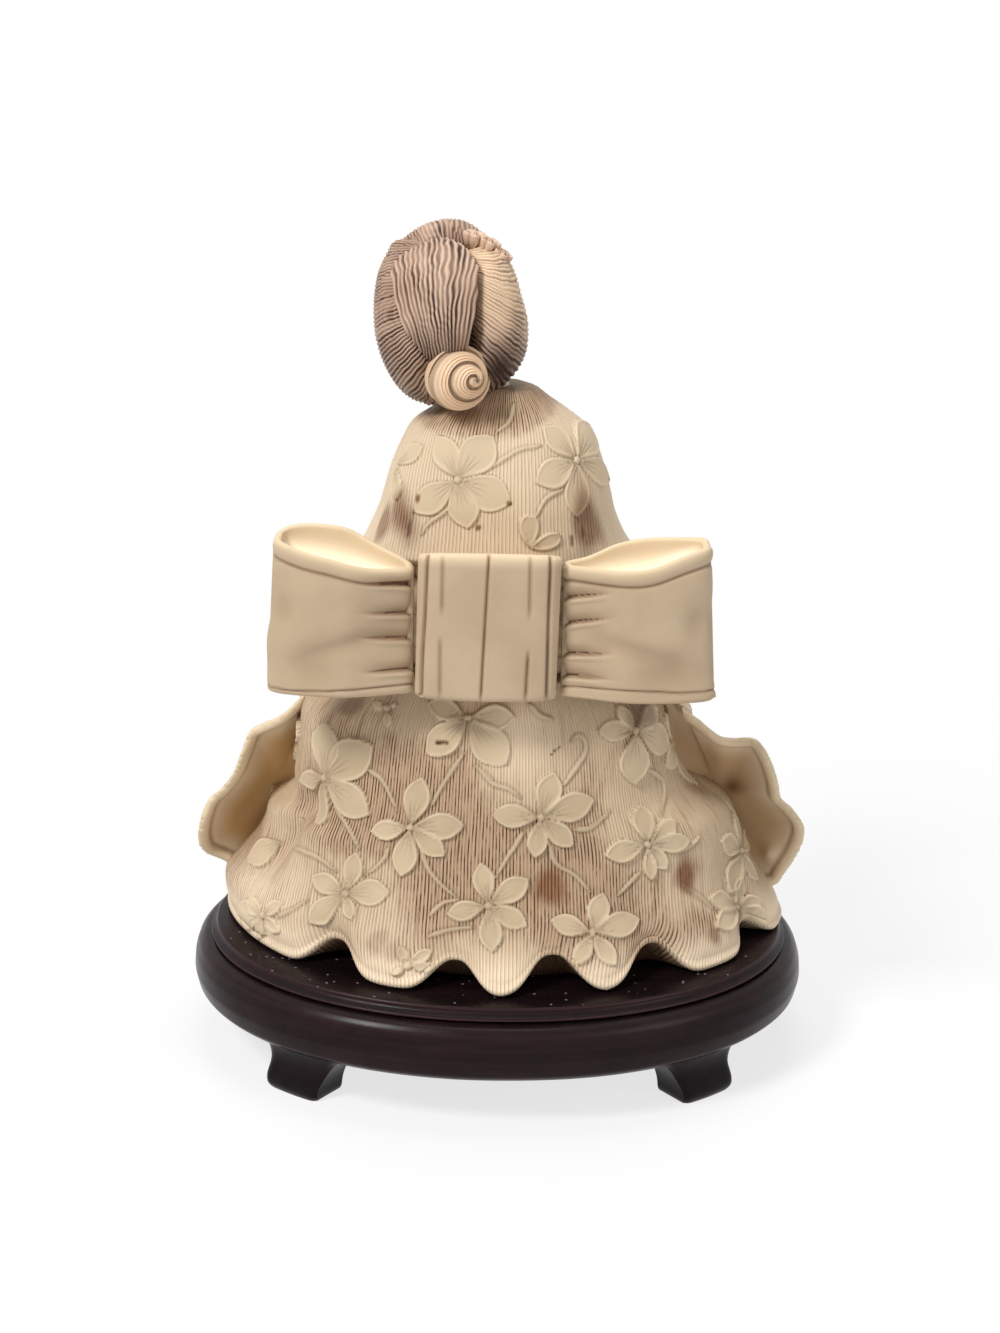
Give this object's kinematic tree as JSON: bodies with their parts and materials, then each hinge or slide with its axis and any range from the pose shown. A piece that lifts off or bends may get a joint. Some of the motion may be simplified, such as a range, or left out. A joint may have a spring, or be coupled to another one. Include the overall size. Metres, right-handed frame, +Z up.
{
  "type": "resin figurine",
  "caption": "Kneeling figure of ivory-coloured cast resin in a carved robe with a large bow, loose on an oval dark wooden stand with bracket feet.",
  "frame": {"origin": "on the surface that the stand rests on, at the middle of the object's box", "axes": "+Z up, +Y the way the figure faces, +X to the figure's right; the bow and the pictured back face -Y"},
  "size_m": [0.1564, 0.1226, 0.2065],
  "materials": {
    "carved_resin": "satin, combed and stained",
    "smooth_resin": "satin",
    "hair_resin": "combed and stained",
    "dark_wood": "satin lacquer"
  },
  "bodies": {
    "stand": {"stand_rim": "dark_wood", "stand_platform": "dark_wood", "stand_foot_back_right": "dark_wood", "stand_foot_back_left": "dark_wood", "stand_foot_front_right": "dark_wood", "stand_foot_front_left": "dark_wood"},
    "figurine": {"robe_lower": "carved_resin", "obi_band": "smooth_resin", "robe_upper": "carved_resin", "sleeve_left": "smooth_resin", "sleeve_right": "smooth_resin", "obi_knot": "smooth_resin", "bow_loop_left": "smooth_resin", "bow_loop_right": "smooth_resin", "collar": "smooth_resin", "head": "smooth_resin", "hair_back_panel": "hair_resin", "hair_wing_left": "hair_resin", "hair_wing_right": "hair_resin", "hair_front_roll": "hair_resin", "hair_bun": "hair_resin", "hair_blossom_upper": "smooth_resin", "hair_blossom_middle": "smooth_resin", "hair_blossom_lower": "smooth_resin", "hand_right": "smooth_resin", "hand_left": "smooth_resin"}
  },
  "joints": [
    {"name": "figurine_lift", "type": "slide", "parent": "stand", "child": "figurine", "axis": [0, 0, 1], "range_m": [0, 0.06]}
  ]
}
